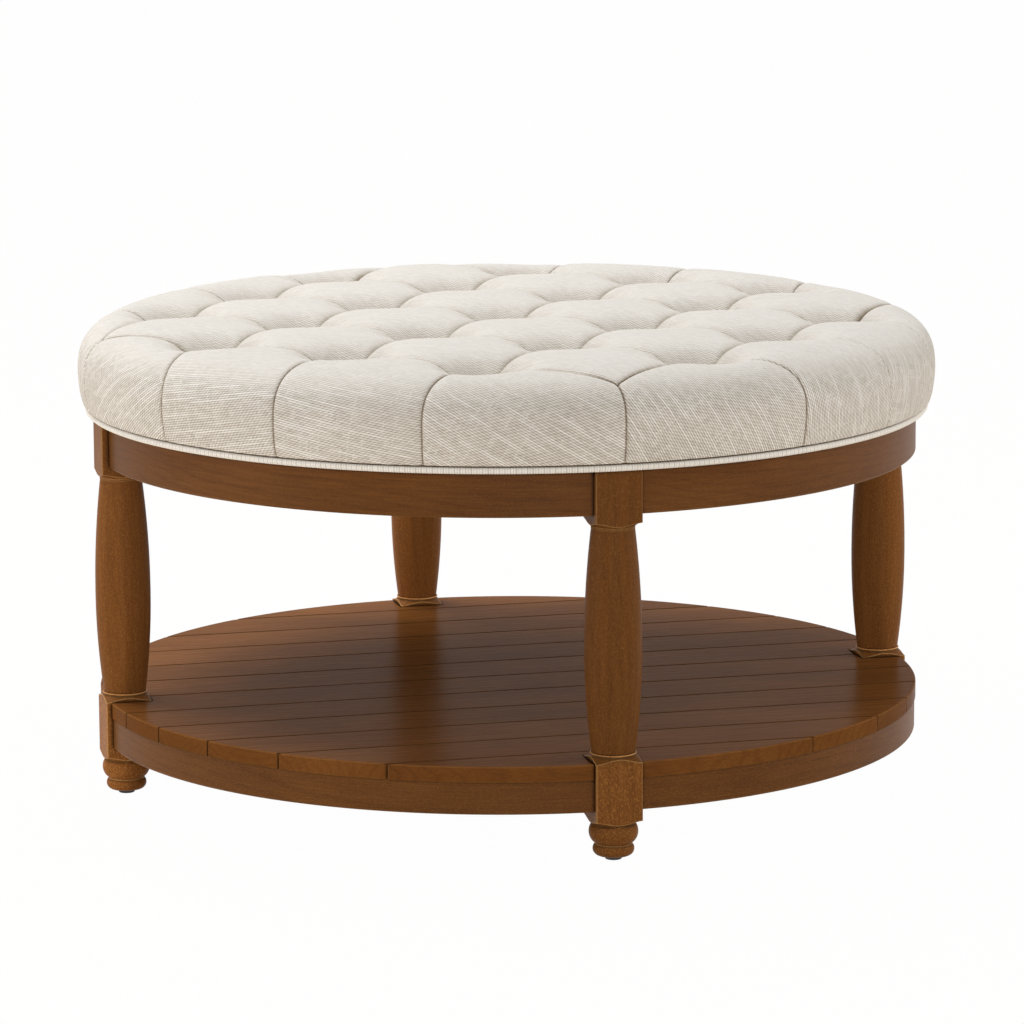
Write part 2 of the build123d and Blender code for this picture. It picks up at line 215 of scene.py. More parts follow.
def stainedWood(name, layout, brightness, figure, fleck, edgeWearAndHighlight, roughness, specular):
    # figure is how strongly the grain shows, fleck how strongly the golden flecks do
    material, add = emptyMaterial(name)
    place, tint, piece = grainCoordinates(add, layout)
    streak = stretchedNoise(add, place, wood["streakMm"], 4.0)
    pore = stretchedNoise(add, place, wood["poreMm"], 1.0)
    mottle = stretchedNoise(add, place, wood["bandMm"] if layout == "legs" else wood["mottleMm"], 3.0)
    flecks = stretchedNoise(add, place, wood["fleckMm"], 2.0)
    # growth rings round a heart outside the piece, drifting along it, give the arches of flat-sawn wood
    drift = stretchedNoise(add, place, wood["driftMm"], 2.0)
    parts = add("SeparateXYZ", place).outputs
    lean = add("Math MULTIPLY_ADD", parts[0], 0.07, parts[1])
    folded = add("Math PINGPONG", add("Math MULTIPLY_ADD", drift, 46.0, lean), 160.0)
    heart = add("CombineXYZ", folded, add("Math PINGPONG", parts[2], 60.0))
    distance = add("VectorMath LENGTH", heart)
    ringWave = add("Math SINE", add("Math MULTIPLY", distance, 2 * math.pi / wood["ringMm"]))
    rings = add("MapRange", ringWave, 0.35, 1.0)

    # how light the stain is, from 0 to 1
    level = mixed(add, 0.27 - 0.45 * figure, (streak, 0.9 * figure), (mottle, 0.5), (rings, -0.14 * figure))
    stain = add("ValToRGB", level)
    setStops(stain, (0.22, wood["darkHex"]), (0.9, wood["lightHex"]), (0.52, wood["midHex"]))
    # the blocks and feet below the shelf have more flecks than the vases, and are painted lighter as painted
    # light, since the seat's shade falls less on them
    spot = add("SeparateXYZ", add("TexCoord").outputs["Object"]).outputs
    low = add("MapRange", spot[2], (shelfTop + 8) * millimetre, (shelfTop - 4) * millimetre)
    most = add("Math MULTIPLY_ADD", low, 0.75 * fleck, fleck)
    golden = add("MapRange", flecks, 0.5, 0.72, 0.0, most)
    pored = add("MapRange", pore, 0.6, 0.72, 0.0, 0.7 * figure)
    # it wears thin along the edges, and a painted highlight lies along them too
    faceNormal = add("NewGeometry").outputs["Normal"]
    rounded = add("Bevel", {"Radius": wood["edgeMm"] * millimetre}, samples=4)
    edge = add("MapRange", add("VectorMath DOT_PRODUCT", faceNormal, rounded), 0.99, 0.9, 0.0, edgeWearAndHighlight)
    # painted shade in the joints and corners, where the parts meet
    openness = add("AmbientOcclusion", {"Distance": wood["jointShadeMm"] * millimetre}, samples=6).outputs["AO"]
    jointShade = add("MapRange", openness, 0.84, 0.6, 0.0, 0.95)
    colour = painted(add, stain, (golden, wood["fleckHex"]), (pored, wood["darkHex"]),
                     (edge, wood["edgeWearHighlightHex"]), (jointShade, wood["paintedShadeHex"]))
    if layout == "boards":
        # painted shade along the gaps between the boards, on their top faces
        aside = add("Math PINGPONG", spot[1], boardPitch / 2 * millimetre)
        dark, clear = wood["gapShadeMm"]
        gap = add("MapRange", aside, clear * millimetre, dark * millimetre, 0.0, 0.95)
        upward = add("SeparateXYZ", faceNormal).outputs[2]
        colour = painted(add, colour, (add("Math MULTIPLY", gap, upward, use_clamp=True), wood["paintedShadeHex"]))
        # the sawn edges drink more stain than the faces
        colour = add("VectorMath SCALE", colour, add("MapRange", upward, 0.0, 0.5, 0.73))
    if layout == "legs":
        # painted light: the legs that lie deeper in the seat's shade are painted lighter, the front leg
        # darkest of the four and the back leg lightest
        apart = add("Math ABSOLUTE", add("Math SUBTRACT", piece, 1.0))
        tone = add("Math MULTIPLY_ADD", apart, 0.4 * brightness, brightness)
        tone = add("Math MULTIPLY", tone, add("Math MULTIPLY_ADD", low, 0.4, 1.0))
    else:
        # each piece of the wood is a little lighter or darker than its neighbour
        chance = add("SeparateXYZ", tint).outputs[0]
        tone = add("MapRange", chance, 0.0, 1.0, 0.9 * brightness, 1.1 * brightness)
    gloss = add("MapRange", streak, 0.0, 1.0, roughness - 0.05, roughness + 0.07)
    finishMaterial(add, add("Math SUBTRACT", streak, pore), wood["bump"], {
        "Base Color": add("VectorMath SCALE", colour, tone), "Roughness": gloss, "IOR": 1.5,
        "Specular IOR Level": specular}, Normal=rounded)
    return material


def dressNode(name, material):
    piece = cadNodes[name]
    piece.data.materials.clear()
    piece.data.materials.append(material)


boardWood = stainedWood("stained birch boards, satin lacquer", "boards", brightness=1.42, figure=0.6,
                        fleck=0.0, edgeWearAndHighlight=0.1, roughness=0.26, specular=0.003)
legWood = stainedWood("stained birch legs, satin lacquer", "legs", brightness=0.82, figure=0.36,
                      fleck=0.4, edgeWearAndHighlight=1.0, roughness=0.4, specular=0.03)
ringWood = stainedWood("stained birch rings, satin lacquer", "rings", brightness=0.91, figure=0.6,
                       fleck=0.2, edgeWearAndHighlight=0.6, roughness=0.4, specular=0.07)
sides = ("front", "right", "back", "left")
corners = ("front_right", "back_right", "back_left", "front_left")
for side in sides:
    dressNode(f"leg_{side}", legWood)
for corner in corners:
    dressNode(f"apron_rail_{corner}", ringWood)
    dressNode(f"shelf_rim_{corner}", ringWood)
for number in range(1, 13):
    dressNode(f"shelf_board_{number:02d}", boardWood)
print("wood done")


# Tufted cushion: linen-look cover over foam, pulled down at 21 blind tufts, with folds between them
# and pleats down the side. Its cloth is laid out flat first, where the folds and pleats are lines.
cushion = {
    "tuftPitchMm": 103.0,
    "tuftRows": 3,
    "crownMm": 1.5,
    "edgeWidthMm": 73.0,
    "edgeSharpness": 2.65,
    "proudMm": 4.0,  # how far the cloth swells past the foam's own radius
    "widestMm": 35.2,  # above the welt
    "tuckMm": 4.6,  # how far the side pulls in from its widest line down to the welt
    "junctionMm": 402.0,  # from the middle, over the cloth, to where two folds run on as one pleat
    "pleatJoinMm": 430.0,  # from the middle, over the cloth, to where a pleat turns straight down
    "pleatTurnDegrees": 25.2,  # pleats of the outermost tufts, from the nearest junction
    "pleatStrayDegrees": (0.4, -0.3, 0.5, -0.4, 0.6, -0.5, 0.4, 0.3,
                          -0.4, 0.1, -0.2, 0.1, 0.5, 1.7, 0.4, -0.3),
    "pleatBend": 1.57,  # how soon a pleat turns down
    "pitDepthMm": 28.0,
    "pitSpreadMm": 38.0,
    "pitPower": 3.0,
    "pitHeldMm": 14.0,
    "deepestMm": 28.0,
    "foldEndMm": 22.0,
    "foldMiddleMm": 6.5,
    "foldTightMm": 6.0,
    "foldWideMm": 19.0,
    "foldPower": 1.6,  # how fast a fold rises from its tufts to its middle
    "sideFoldPower": 1.8,
    "tightShare": 0.65,  # of a fold's depth, in its steep wall
    "foldHeldMm": 0.4,
    "creaseEndMm": 20.0,  # written where no pleat's line is near
    "junctionDepthMm": 3.0,
    "pleatEndMm": 0.8,
    "pleatFadeMm": 30.0,
    "pleatTightMm": 2.0,
    "pleatWideMm": 9.0,
    "slitMm": 1.7,
    "foldSlitMm": 0.5,
    "slitWidthMm": 0.7,
    "softPleats": (14,),  # pleats that were smoothed out and hardly show
    "openFoldMm": 0.75,
    "grooveMm": 1.0,  # how far the cover is drawn in just above the welt
    "grooveWidthMm": 2.0,
    "steps": 20,
    "edgeCrowding": 0.9,  # how much finer the mesh is next to the folds
    "startInsideMm": 1.5,
    "pressure": 4.0,
    "threadMassKg": 0.001,
    "frames": 20,
    "mostMm": 5.5,
    "clearanceMm": 0.7,
}


def sideProfile():
    # Crest line of the cushion from its middle out and down to the welt: radius and height in millimetres
    radius = cushionRadius + cushion["proudMm"]
    top = cushionTop
    base = weltHigh[2] + 0.4
    widest = base + cushion["widestMm"]
    flat = radius - cushion["edgeWidthMm"]
    share = np.linspace(0, 1, 160)
    across = share * flat
    crown = np.column_stack([across, top - cushion["crownMm"] * share**4])
    power = 2 / cushion["edgeSharpness"]
    turn = share * math.pi / 2
    height = top - cushion["crownMm"] - widest
    edge = np.column_stack([
        flat + cushion["edgeWidthMm"] * np.sin(turn) ** power,
        widest + height * np.maximum(np.cos(turn), 0) ** power])
    side = np.column_stack([radius - cushion["tuckMm"] * share**2, widest + (base - widest) * share])
    line = np.vstack([crown, edge[1:], side[1:]])
    length = np.concatenate([[0], np.cumsum(distances(np.diff(line, axis=0)))])
    slope = np.gradient(line, length, axis=0)
    slope /= distances(slope)[:, None]
    normal = np.column_stack([-slope[:, 1], slope[:, 0]])
    return length, line, normal


profileLength, profileLine, profileNormal = sideProfile()
clothRadius = profileLength[-1]


def pleatCurve(start, endAngle, share):
    # A pleat leaves its tuft aslant, turns over the edge and runs straight down to the welt
    inner = np.linalg.norm(start)
    first = math.atan2(start[1], start[0])
    turn = shortTurn(endAngle - first)
    reach = inner + (clothRadius - inner) * share
    gone = np.clip((reach - inner) / (cushion["pleatJoinMm"] - inner), 0, 1)
    angle = first + turn * (1 - (1 - gone) ** cushion["pleatBend"])
    return np.column_stack([reach * np.cos(angle), reach * np.sin(angle)])


def layOutFolds():
    # Tufts, folds, pleats and the panels between them, in millimetres on the flat cloth
    rows = cushion["tuftRows"]
    pitch = cushion["tuftPitchMm"]
    steps = range(-rows, rows + 1)
    tufts = [(i, j) for i in steps for j in steps if (i + j) % 2 == 0 and i * i + j * j <= rows * rows + 1]
    place = {tuft: np.array(tuft, float) * pitch for tuft in tufts}
    junctions = {}
    for i, j in ((rows + 1, 0), (0, rows + 1), (-rows - 1, 0), (0, -rows - 1)):
        junctions[i, j] = np.array((i, j), float) / (rows + 1) * cushion["junctionMm"]
    folds = []
    starts = list(junctions.values())
    for i, j in tufts:
        for across, up in ((1, 1), (1, -1), (-1, 1), (-1, -1)):
            other = (i + across, j + up)
            if other in place:
                if (i, j) < other:
                    folds.append((np.array([place[i, j], place[other]]), "fold"))
            elif other in junctions:
                folds.append((np.array([place[i, j], junctions[other]]), "side fold"))
            else:
                starts.append(place[i, j])
    # the pleats in turn round the rim, each with the place where it starts and the angle where it ends
    starts.sort(key=lambda start: round(math.atan2(start[1], start[0]) % (2 * math.pi), 6))
    pleats = []
    for start, stray in zip(starts, cushion["pleatStrayDegrees"]):
        angle = math.degrees(math.atan2(start[1], start[0])) % 360
        quarter = round(angle / 90) * 90
        aside = angle - quarter
        if abs(aside) > 1 and abs(aside) < 40:
            angle = quarter + math.copysign(cushion["pleatTurnDegrees"], aside)
        pleats.append((start, math.radians(angle + stray)))
    for number, (start, angle) in enumerate(pleats):
        kind = "soft pleat" if number in cushion["softPleats"] else "pleat"
        folds.append((pleatCurve(start, angle, np.linspace(0, 1, 30)), kind))
    corners = place | junctions
    pillows = []
    for i in steps:
        for j in steps:
            around = [(i - 1, j), (i, j - 1), (i + 1, j), (i, j + 1)]
            if (i + j) % 2 and all(spot in corners for spot in around):
                pillows.append([corners[spot] for spot in around])
    return place, folds, pleats, pillows


def easedShares():
    # Steps across a panel, finer towards its edges, where the folds are
    even = np.linspace(0, 1, cushion["steps"] + 1)
    return even - cushion["edgeCrowding"] * np.sin(2 * math.pi * even) / (2 * math.pi)


def panelGrid(lower, upper, left, right):
    # Grid between four curves of the flat cloth: left and right run from the lower one to the upper
    share = easedShares()
    u = share[:, None, None]
    v = share[None, :, None]
    a, b, c, d = lower[0], lower[-1], upper[-1], upper[0]
    flat = (1 - u) * (1 - v) * a + u * (1 - v) * b + u * v * c + (1 - u) * v * d
    return (1 - v) * lower[:, None] + v * upper[:, None] + (1 - u) * left[None] + u * right[None] - flat


def straight(start, end):
    return start + (end - start) * easedShares()[:, None]


def pillowGrid(corners):
    a, b, c, d = corners
    return panelGrid(straight(a, b), straight(d, c), straight(a, d), straight(b, c))


def sideGrid(first, second):
    # Side panel between two pleats, the second further round than the first
    share = easedShares()
    left = pleatCurve(*second, share)
    right = pleatCurve(*first, share)
    angle = second[1] + shortTurn(first[1] - second[1]) * share
    rim = clothRadius * np.column_stack([np.cos(angle), np.sin(angle)])
    return panelGrid(straight(second[0], first[0]), rim, left, right)


def nearestOn(curve, points):
    # How far each point is from a curve, and the share of the curve's length up to the nearest place
    lengths = distances(np.diff(curve, axis=0))
    nearest = np.full(len(points), np.inf)
    share = np.zeros(len(points))
    passed = 0.0
    for start, end, length in zip(curve, curve[1:], lengths):
        line = end - start
        along = np.clip((points - start) @ line / (line @ line), 0, 1)
        distance = distances(points - start - along[:, None] * line)
        closer = distance < nearest
        nearest[closer] = distance[closer]
        share[closer] = ((passed + along * length) / lengths.sum())[closer]
        passed += length
    return nearest, share, lengths.sum()


def foldDepth(curve, kind, points):
    # How far a fold pulls the cloth down: a narrow slit, a steep wall and a wide slope
    distance, along, length = nearestOn(curve, points)
    ends, middle, junction = cushion["foldEndMm"], cushion["foldMiddleMm"], cushion["junctionDepthMm"]
    tight, wide = cushion["foldTightMm"], cushion["foldWideMm"]
    pleatEnd, pleatTight = cushion["pleatEndMm"], cushion["pleatTightMm"]
    if kind == "fold":
        depth = middle + (ends - middle) * np.abs(2 * along - 1) ** cushion["foldPower"]
    elif kind == "side fold":
        depth = junction + (ends - junction) * (1 - along) ** cushion["sideFoldPower"]
        tight = tight + (pleatTight - tight) * along
    else:
        fromTuft = np.linalg.norm(curve[0]) < cushion["junctionMm"] - 1
        top = ends if fromTuft else junction
        depth = pleatEnd + (top - pleatEnd) * np.exp(-along * length / cushion["pleatFadeMm"])
        tight = pleatTight + (tight - pleatTight) * (1 - along) ** 3 * fromTuft
        wide = cushion["pleatWideMm"]
    share = cushion["tightShare"]
    wall = share * np.exp(-distance / tight) + (1 - share) * np.exp(-distance / wide)
    slit = cushion["foldSlitMm"] if kind in ("fold", "soft pleat") else cushion["slitMm"]
    return depth * wall + slit * np.exp(-distance / cushion["slitWidthMm"])


def softDepth(points, place, folds):
    # How deep the pull of the tufts and folds reaches at each point of the flat cloth, in millimetres
    power, limitPower = 3, 6
    total = np.zeros(len(points))
    for curve, kind in folds:
        total += foldDepth(curve, kind, points) ** power
    for spot in place.values():
        distance = distances(points - spot)
        pull = np.exp(-(distance / cushion["pitSpreadMm"]) ** cushion["pitPower"])
        total += (cushion["pitDepthMm"] * pull) ** power
    depth = total ** (1 / power)
    depth = depth / (1 + (depth / cushion["deepestMm"]) ** limitPower) ** (1 / limitPower)
    aboveWelt = clothRadius - distances(points)
    return depth + cushion["grooveMm"] * np.exp(-aboveWelt / cushion["grooveWidthMm"])


def raised(points, depth):
    # From the flat cloth to the cushion's round shape, sunk by the depth along its own normal
    distance = distances(points)
    aim = points / np.maximum(distance, 1e-9)[:, None]
    radius, height = (np.interp(distance, profileLength, profileLine[:, i]) for i in (0, 1))
    outward, upward = (np.interp(distance, profileLength, profileNormal[:, i]) for i in (0, 1))
    return np.column_stack([aim * (radius - outward * depth)[:, None], height - upward * depth])


def weavePlaces(grid, facing):
    # Where the threads lie in the cloth: the warp along one diagonal of the tufting, the weft along the other
    flat = grid
    if facing is not None:
        distance = distances(grid)
        angle = np.arctan2(grid[..., 1], grid[..., 0]) - facing
        aside = shortTurn(angle) * cushionRadius
        outward = np.array((math.cos(facing), math.sin(facing)))
        sideways = np.array((-outward[1], outward[0]))
        flat = distance[..., None] * outward + aside[..., None] * sideways
    return np.stack([flat[..., 0] - flat[..., 1], flat[..., 0] + flat[..., 1]], axis=2) / math.sqrt(2)


def layOutCover():
    # All panels of the cover, merged where they meet: flat places, faces and the weave at each face corner
    place, folds, pleats, pillows = layOutFolds()
    patches = [(pillowGrid(corners), None) for corners in pillows]
    for first, second in zip(pleats, pleats[1:] + pleats[:1]):
        patches.append((sideGrid(first, second), first[1] + shortTurn(second[1] - first[1]) / 2))
    points, faces, weave = [], [], []
    known = {}
    for grid, facing in patches:
        numbers = np.zeros(grid.shape[:2], int)
        for spot in np.ndindex(*numbers.shape):
            key = tuple(np.round(grid[spot] + 0.0, 2))
            if key not in known:
                known[key] = len(points)
                points.append(grid[spot])
            numbers[spot] = known[key]
        threads = weavePlaces(grid, facing)
        for i, j in np.ndindex(numbers.shape[0] - 1, numbers.shape[1] - 1):
            ring = ((i, j), (i + 1, j), (i + 1, j + 1), (i, j + 1))
            faces.append([numbers[spot] for spot in ring])
            weave.append([threads[spot] for spot in ring])
    return np.array(points), faces, weave, place, folds


def closeUnderneath(points, spots, faces, weave):
    # The cover's lower edge turns in over the welt, up the seat board's rim and across under the foam
    rim = np.flatnonzero(np.abs(distances(points) - clothRadius) < 0.02)
    last = rim[np.argsort(np.arctan2(points[rim, 1], points[rim, 0]))]
    aim = points[last] / clothRadius
    gap = cushion["clearanceMm"]
    board = seatHigh[0] + gap
    base = weltHigh[2] + 0.3
    over = seatHigh[2] + gap
    # each ring's radius, its height and how many points of the ring before go to one of its own
    rings = [(board + 0.3, base, 1), (board, base + 0.6, 1), (board, over, 1), (board * 0.97, over, 1)]
    rings += [(board * inward, over, 2) for inward in (0.88, 0.74, 0.55, 0.3)]
    for radius, height, share in rings:
        aim = aim[::share]
        fresh = len(spots) + np.arange(len(aim))
        spots = np.vstack([spots, np.column_stack([aim * radius, np.full(len(aim), height)])])
        points = np.vstack([points, aim * (clothRadius + 1)])
        for k in range(len(aim)):
            outer = [last[(k * share + m) % len(last)] for m in range(share + 1)]
            ring = outer[::-1] + [fresh[k], fresh[(k + 1) % len(fresh)]]
            faces.append(ring)
            weave.append([spots[number][:2] for number in ring])
        last = fresh
    faces.append(list(last[::-1]))
    weave.append([spots[number][:2] for number in last[::-1]])
    return points, spots, faces, weave


def smoothPiece(name, spots, faces):
    mesh = bpy.data.meshes.new(name)
    places = [tuple(spot) for spot in np.asarray(spots) * millimetre]
    mesh.from_pydata(places, [], [[int(number) for number in face] for face in faces])
    mesh.polygons.foreach_set("use_smooth", [True] * len(mesh.polygons))
    mesh.update()
    return addObject(name, mesh)


def clothPiece(name, spots, faces, weave, crease):
    # crease is each point's distance from the nearest fold line in millimetres
    piece = smoothPiece(name, spots, faces)
    threads = piece.data.attributes.new("weave", "FLOAT_VECTOR", "CORNER")
    places = [(*spot, crease[number]) for face, ring in zip(faces, weave) for number, spot in zip(face, ring)]
    threads.data.foreach_set("vector", np.array(places, np.float32).ravel())
    return piece


def puffUp(piece, held):
    # Air pressure swells the cloth between its folds; no point moves further than the cap
    group = piece.vertex_groups.new(name="held")
    group.add([int(number) for number in np.flatnonzero(held)], 1.0, "REPLACE")
    cloth = piece.modifiers.new("puff", "CLOTH")
    cloth.settings.vertex_group_mass = "held"
    cloth.settings.use_pressure = True
    cloth.settings.uniform_pressure_force = cushion["pressure"]
    cloth.settings.mass = cushion["threadMassKg"]
    cloth.settings.effector_weights.gravity = 0
    cloth.settings.quality = 3
    cloth.point_cache.frame_start = 1
    cloth.point_cache.frame_end = cushion["frames"]
    before = np.empty(len(piece.data.vertices) * 3)
    piece.data.vertices.foreach_get("co", before)
    before = before.reshape(-1, 3)
    for step in range(1, cushion["frames"] + 1):
        bpy.context.scene.frame_set(step)
    depsgraph = bpy.context.evaluated_depsgraph_get()
    swollen = piece.evaluated_get(depsgraph).data
    after = np.empty(len(swollen.vertices) * 3)
    swollen.vertices.foreach_get("co", after)
    moved = after.reshape(-1, 3) - before
    piece.modifiers.remove(cloth)
    bpy.context.scene.frame_set(1)
    far = distances(moved)
    most = cushion["mostMm"] * millimetre
    scale = np.where(far > 1e-9, most * np.tanh(far / most) / np.maximum(far, 1e-9), 0)
    after = before + moved * scale[:, None]
    mean, furthest = (round(value / millimetre, 2) for value in (far.mean(), far.max()))
    print("cloth moved by mm: mean", mean, "most", furthest)
    piece.data.vertices.foreach_set("co", after.ravel())
    piece.data.update()


def applyModifiers(piece):
    depsgraph = bpy.context.evaluated_depsgraph_get()
    mesh = bpy.data.meshes.new_from_object(piece.evaluated_get(depsgraph))
    piece.modifiers.clear()
    piece.data = mesh


def makeCushion():
    points, faces, weave, place, folds = layOutCover()
    depth = softDepth(points, place, folds)
    spots = raised(points, depth + cushion["startInsideMm"])
    points, spots, faces, weave = closeUnderneath(points, spots, faces, weave)
    onFold = np.zeros(len(points), bool)
    crease = np.full(len(points), cushion["creaseEndMm"])
    for curve, kind in folds:
        distance = nearestOn(curve, points)[0]
        onFold |= distance < cushion["foldHeldMm"]
        # the folds between the tufts are too shallow and open for a painted dark line of shade
        crease = np.minimum(crease, distance + cushion["openFoldMm"] * (kind in ("fold", "soft pleat")))
    atRim = distances(points) > clothRadius - 0.5
    crease[atRim] = cushion["creaseEndMm"]
    piece = clothPiece("tufted_cushion", spots, faces, weave, crease)
    for spot in place.values():
        onFold |= distances(points - spot) < cushion["pitHeldMm"]
    onFold |= atRim
    puffUp(piece, onFold)
    smooth = piece.modifiers.new("smooth", "SUBSURF")
    smooth.levels = 1
    smooth.render_levels = 1
    applyModifiers(piece)
    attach(piece, "root")
    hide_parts("cushion_cover", "foam_pad")
    print("cushion done:", len(piece.data.polygons), "faces")
    return piece


# Linen-look polyester cloth: plain weave of slubby natural and ecru yarn.
# The eye sees a matt off-white grain of light dots where threads cross, with thin bright slubs along some.
linen = {
    "groundHex": "#f5f1ea",
    "shadeHex": "#857666",
    "brightHex": "#fffdf9",
    "seamShadeHex": "#614430",
    "pitShadeHex": "#ddd4c4",
    "threadMm": 2.2,  # real threads are 0.6 mm, drawn coarser so that they show
    "warpSlubMm": 75.0,
    "weftSlubMm": 38.0,
    "napMm": (3.2, 3.2, 1e6),
    "patchMm": (60.0, 60.0, 1e6),
    "seamMm": 2.5,  # how far from a seam or slit the painted shade reaches
    "pitMm": 60.0,  # how far from the next pillow the cloth still lies in a pit and gets painted shade
    "creaseMm": (0.22, 0.95),  # a pleat's line of painted shade is darkest this near its middle, and ends here
    "roughness": 0.92,
    "specular": 0.05,
    "sheen": 0.07,
    "bump": (0.7, 0.35),
}


def slubPlaces(add, along, number, shift, slubLength, least):
    # Where one thread swells into a slub, from 0 to 1
    row = add("Math MULTIPLY_ADD", number, 7.31, shift)
    spot = add("CombineXYZ", add("Math DIVIDE", along, slubLength), row)
    swell = add("TexNoise", spot, 1.0, 1.0, noise_dimensions="2D")
    return add("MapRange", swell, least, least + 0.09)


def wovenCloth(name, lift=0.0, shade=0.75, pitShaded=True):
    # lift makes the whole cloth lighter, shade is how dark the painted shade in a seam is, and the third says
    # that it has tufts, whose pits get a warm painted shade
    material, add = emptyMaterial(name)
    place = add("Attribute", attribute_name="weave").outputs["Vector"]
    count = add("VectorMath SCALE", place, 1 / linen["threadMm"])
    number = add("SeparateXYZ", add("VectorMath FLOOR", count)).outputs
    within = add("SeparateXYZ", add("VectorMath FRACTION", count)).outputs
    along = add("SeparateXYZ", place).outputs
    # the warp is the thicker yarn, so its threads read as ribs, with a light dot at every second crossing
    turns = add("SeparateXYZ", add("VectorMath SCALE", count, math.pi)).outputs
    slant = add("Math COSINE", add("Math SUBTRACT", turns[0], turns[1]))
    rib = add("Math COSINE", add("Math MULTIPLY", turns[1], 2.0))
    dots = mixed(add, 0.5, (slant, 0.14), (rib, -0.32))
    domes = [add("Math SINE", add("Math MULTIPLY", within[k], math.pi)) for k in (0, 1)]
    warpSlub = slubPlaces(add, along[0], number[1], 0.0, linen["warpSlubMm"], 0.57)
    weftSlub = slubPlaces(add, along[1], number[0], 90.0, linen["weftSlubMm"], 0.62)
    warpSlub = add("Math MULTIPLY", warpSlub, domes[1])
    weftSlub = add("Math MULTIPLY", add("Math MULTIPLY", weftSlub, domes[0]), 0.5)
    slub = add("Math MAXIMUM", warpSlub, weftSlub)
    # on top, where the cloth is rubbed most, the slubs lie flatter and show less
    upward = add("SeparateXYZ", add("NewGeometry").outputs["Normal"]).outputs[2]
    proud = add("MapRange", upward, 0.5, 0.85, 1.0, 0.2)
    slub = add("Math MULTIPLY", slub, proud)
    patchy = stretchedNoise(add, place, linen["patchMm"], 2.0)
    nap = stretchedNoise(add, place, linen["napMm"], 2.0)
    # each thread changes its tone every few crossings
    dashes = add("VectorMath FLOOR", add("VectorMath MULTIPLY", count, (0.4, 1.0, 1.0)))
    single = add("TexWhiteNoise", dashes, noise_dimensions="2D")
    level = mixed(add, lift + 0.005, (dots, 0.75), (single, 0.17), (nap, 0.12), (patchy, 0.12))
    # upward-facing cloth is drawn to one light level: its weave shows less there, and the top is painted
    # lighter as painted light
    calmAndLitTop = add("MapRange", upward, 0.35, 0.9, 0.0, 0.42)
    level = add("Mix", calmAndLitTop, level, 0.92)
    ground = add("Mix", level, linen["shadeHex"], linen["groundHex"], data_type="RGBA", clamp_factor=True)
    lit = add("Math MULTIPLY", slub, mixed(add, 0.15, (dots, 0.75)))
    # painted shade in the seams and slits, where the cloth turns in
    openness = add("AmbientOcclusion", {"Distance": linen["seamMm"] * millimetre}, samples=6).outputs["AO"]
    seam = add("MapRange", openness, 0.66, 0.36, 0.0, shade)
    # painted shade along the pleats' lines, from each point's distance to the nearest one
    dark, clear = linen["creaseMm"]
    seam = add("Math MAXIMUM", seam, add("MapRange", along[2], clear, dark, 0.0, 0.6))
    colour = painted(add, ground, (lit, linen["brightHex"]), (seam, linen["seamShadeHex"]))
    if pitShaded:
        # a warm painted shade in the tufts' pits, where the cloth is drawn tight
        depth = add("AmbientOcclusion", {"Distance": linen["pitMm"] * millimetre}, samples=6).outputs["AO"]
        pitShade = add("MapRange", depth, 0.95, 0.58)
        colour = add("Mix", pitShade, colour, linen["pitShadeHex"], data_type="RGBA", blend_type="MULTIPLY")
    finishMaterial(add, add("Math MULTIPLY_ADD", slub, 0.7, dots), linen["bump"], {
        "Base Color": colour, "Roughness": linen["roughness"], "Specular IOR Level": linen["specular"],
        "Sheen Weight": linen["sheen"], "Sheen Roughness": 0.5})
    return material


def tubeFaces(rings, sides, corners, start=0):
    # The quads between rings of points, each quad's corners given as steps along the tube and round it
    return [[start + (i + m) * sides + (k + n) % sides for m, n in corners]
            for i in range(rings) for k in range(sides)]


# Welt: a cord in a bias strip of the same cloth, sewn into the seam; the strip puckers into fine cross ribs
welt = {
    "ribMm": 2.5,
    "ribDepthMm": 0.3,
    "section": 14,
}
outwardCorners = ((0, 0), (1, 0), (1, 1), (0, 1))
alongCorners = ((0, 0), (0, 1), (1, 1), (1, 0))


def makeWelt():
    thickness = weltHigh[2] - weltLow[2]
    middle = weltHigh[0] - thickness / 2
    level = (weltLow[2] + weltHigh[2]) / 2
    ribs = int(round(2 * math.pi * middle / welt["ribMm"]))
    rings = 2 * ribs
    count = welt["section"]
    turn, around = fullTurn(rings), fullTurn(count)
    radius = thickness / 2 - welt["ribDepthMm"] * (np.arange(rings) % 2)
    outward = middle + radius[:, None] * np.cos(around)
    height = level + radius[:, None] * np.sin(around)
    spots = [outward * np.cos(turn)[:, None], outward * np.sin(turn)[:, None], height]
    spots = np.stack(spots, axis=2).reshape(-1, 3)
    faces = np.array(tubeFaces(rings, count, outwardCorners)) % len(spots)
    # one rib is one thread of the warp
    weave = [[(linen["threadMm"] * 0.2, (i + m + 1) / 2 * linen["threadMm"]) for m, n in outwardCorners]
             for i in range(rings) for k in range(count)]
    piece = clothPiece("welt", spots, faces, weave, np.full(len(spots), cushion["creaseEndMm"]))
    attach(piece, "root")
    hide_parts("welt_cord")
    return piece


clothLook = wovenCloth("slub linen, plain weave")
cushionPiece = makeCushion()
cushionPiece.data.materials.append(clothLook)
weltPiece = makeWelt()
weltPiece.data.materials.append(wovenCloth("slub linen, bias strip", lift=0.4, shade=0.3, pitShaded=False))
print("welt done")


# Hidden wood: plain birch, sawn and left bare, seen only from below
bareWood = {
    "lightHex": "#c9a777",
    "darkHex": "#a47f50",
    "streakMm": (70.0, 2.2, 2.2),
    "sawMarkMm": (2.4, 60.0, 60.0),
    "roughness": 0.72,
    "bump": (0.6, 0.12),
}


